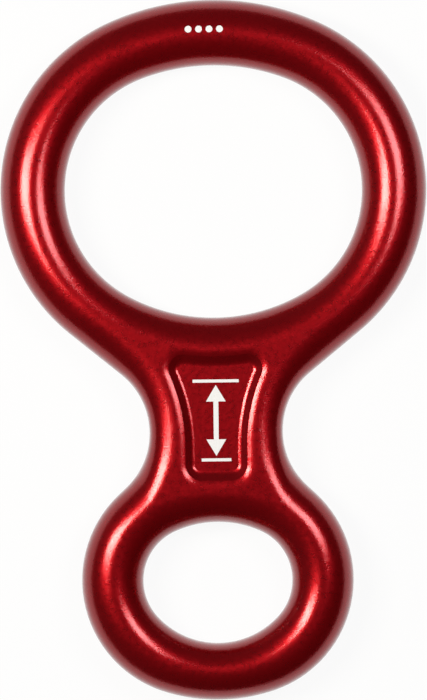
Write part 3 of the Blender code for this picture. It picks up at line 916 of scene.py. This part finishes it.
def add_lamp(name, place, size, brightness, colour):
    """A soft box aimed at the object. Its brightness is the radiance of its surface."""
    data = bpy.data.lights.new(name, "AREA")
    data.shape = "RECTANGLE"
    data.size, data.size_y = size
    data.color = colour
    data.energy = brightness * math.pi * size[0] * size[1]
    lamp = bpy.data.objects.new(name, data)
    lamp.location = place
    lamp.rotation_mode = "QUATERNION"
    towards_object = Vector((0.0, 0.0, THICKNESS / 2)) - lamp.location
    lamp.rotation_quaternion = towards_object.to_track_quat("-Z", "Y")
    bpy.context.scene.collection.objects.link(lamp)


def floor_material(colour):
    """A pale floor that looks white, also in reflections, keeps a soft shadow and is clear from below."""
    material = bpy.data.materials.new("pale floor")
    material.use_nodes = True
    nodes, links = material.node_tree.nodes, material.node_tree.links
    nodes.clear()
    tree = Tree(material.node_tree)
    output = tree.add("ShaderNodeOutputMaterial")
    matt = tree.add("ShaderNodeBsdfDiffuse", None, Color=(*colour, 1.0))
    glow = tree.add("ShaderNodeEmission", None, Color=(1.0, 1.0, 1.0, 1.0), Strength=1.0)
    ray = tree.add("ShaderNodeLightPath").outputs
    in_mirror_or_glass = tree.math("MAXIMUM", ray["Is Glossy Ray"], ray["Is Transmission Ray"])
    seen = tree.math("MAXIMUM", ray["Is Camera Ray"], in_mirror_or_glass)
    share = tree.math("MULTIPLY", seen, FLOOR_GLOW)
    mixed = tree.add("ShaderNodeMixShader", None, _0=share, _1=matt.outputs[0], _2=glow.outputs[0])
    under = tree.add("ShaderNodeNewGeometry").outputs["Backfacing"]
    clear = tree.add("ShaderNodeBsdfTransparent")
    one_sided = tree.add("ShaderNodeMixShader", None, _0=under, _1=mixed.outputs[0], _2=clear.outputs[0])
    links.new(one_sided.outputs[0], output.inputs[0])
    return material


def room_world():
    """A dim room, a little lighter to the left and to the back."""
    world = bpy.data.worlds.new("studio room")
    world.use_nodes = True
    nodes, links = world.node_tree.nodes, world.node_tree.links
    tree = Tree(world.node_tree)
    way = tree.add("ShaderNodeTexCoord").outputs["Generated"]
    slope = tree.add("ShaderNodeVectorMath", {"operation": "DOT_PRODUCT"}, _0=way, _1=ROOM_SLOPE)
    level = tree.math("MAXIMUM", tree.math("ADD", slope.outputs["Value"], ROOM_LEVEL), 0.0)
    background = nodes["Background"]
    links.new(level, background.inputs["Color"])
    background.inputs["Strength"].default_value = 1.0
    return world


def add_camera():
    """A camera that looks straight down at the object, framed and leant as in the photograph."""
    data = bpy.data.cameras.new("camera")
    data.sensor_width = SENSOR
    data.lens = SENSOR * CAMERA_DISTANCE / (PICTURE_HEIGHT_PIXELS * PICTURE_SCALE)
    data.clip_start = NEAREST_SEEN
    camera = bpy.data.objects.new("camera", data)
    across = Vector((math.cos(LEAN_LEFT), -math.sin(LEAN_LEFT), 0.0))
    up = Vector((math.sin(LEAN_LEFT), math.cos(LEAN_LEFT), 0.0))
    place = -(across * AXIS_RIGHT_OF_CENTRE + up * MIDDLE_ABOVE_CENTRE) * PICTURE_SCALE
    place.z = THICKNESS / 2 + CAMERA_DISTANCE
    camera.matrix_world = Matrix.Translation(place) @ Matrix.Rotation(-LEAN_LEFT, 4, "Z")
    bpy.context.scene.collection.objects.link(camera)
    bpy.context.scene.camera = camera


class DESCENDER_OT_stage(bpy.types.Operator):
    """Set the stage: a pale floor, two soft boxes, a dim room and the camera"""

    bl_idname = "descender.stage"
    bl_label = "Stage"

    def execute(self, context):
        studio = context.scene.descender_studio
        add_camera()
        mesh = bpy.data.meshes.new("floor")
        corners = [(x * FLOOR_HALF_WIDTH, y * FLOOR_HALF_WIDTH, 0.0)
                   for x, y in ((-1, -1), (1, -1), (1, 1), (-1, 1))]
        mesh.from_pydata(corners, [], [(0, 1, 2, 3)])
        mesh.materials.append(floor_material(studio.floor))
        floor = bpy.data.objects.new("floor", mesh)
        context.scene.collection.objects.link(floor)
        add_lamp("left_lamp", LEFT_LAMP_PLACE, LEFT_LAMP_SIZE, studio.left_lamp, studio.left_colour)
        add_lamp("right_lamp", RIGHT_LAMP_PLACE, RIGHT_LAMP_SIZE, studio.right_lamp, studio.right_colour)
        context.scene.world = room_world()
        context.scene.view_settings.view_transform = "Standard"
        return {"FINISHED"}


class DESCENDER_PT_panel(bpy.types.Panel):
    """The descender's sizes, finish and pieces"""

    bl_idname = "DESCENDER_PT_panel"
    bl_label = "Descender"
    bl_space_type = "VIEW_3D"
    bl_region_type = "UI"
    bl_category = "Descender"

    def draw(self, context):
        for place in GROUPS:
            group, box = getattr(context.scene, place), self.layout.box()
            for name in group.__annotations__:
                box.prop(group, name)
        for operator in OPERATORS:
            self.layout.operator(operator.bl_idname)


GROUPS = {"descender_sizes": DescenderSizes, "descender_finish": DescenderFinish,
          "descender_studio": DescenderStudio}
OPERATORS = (DESCENDER_OT_forged_body, DESCENDER_OT_stage)


def register():
    """Registers the classes and hangs the property groups on the scene."""
    for kind in (*GROUPS.values(), *OPERATORS, DESCENDER_PT_panel):
        bpy.utils.register_class(kind)
    for name, kind in GROUPS.items():
        setattr(bpy.types.Scene, name, PointerProperty(type=kind))


def unregister():
    """Takes away what register added."""
    for name in GROUPS:
        delattr(bpy.types.Scene, name)
    for kind in (DESCENDER_PT_panel, *reversed(OPERATORS), *reversed(list(GROUPS.values()))):
        bpy.utils.unregister_class(kind)


def main():
    register()
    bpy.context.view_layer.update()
    bpy.ops.descender.forged_body()
    bpy.ops.descender.stage()


if __name__ == "__main__":
    main()
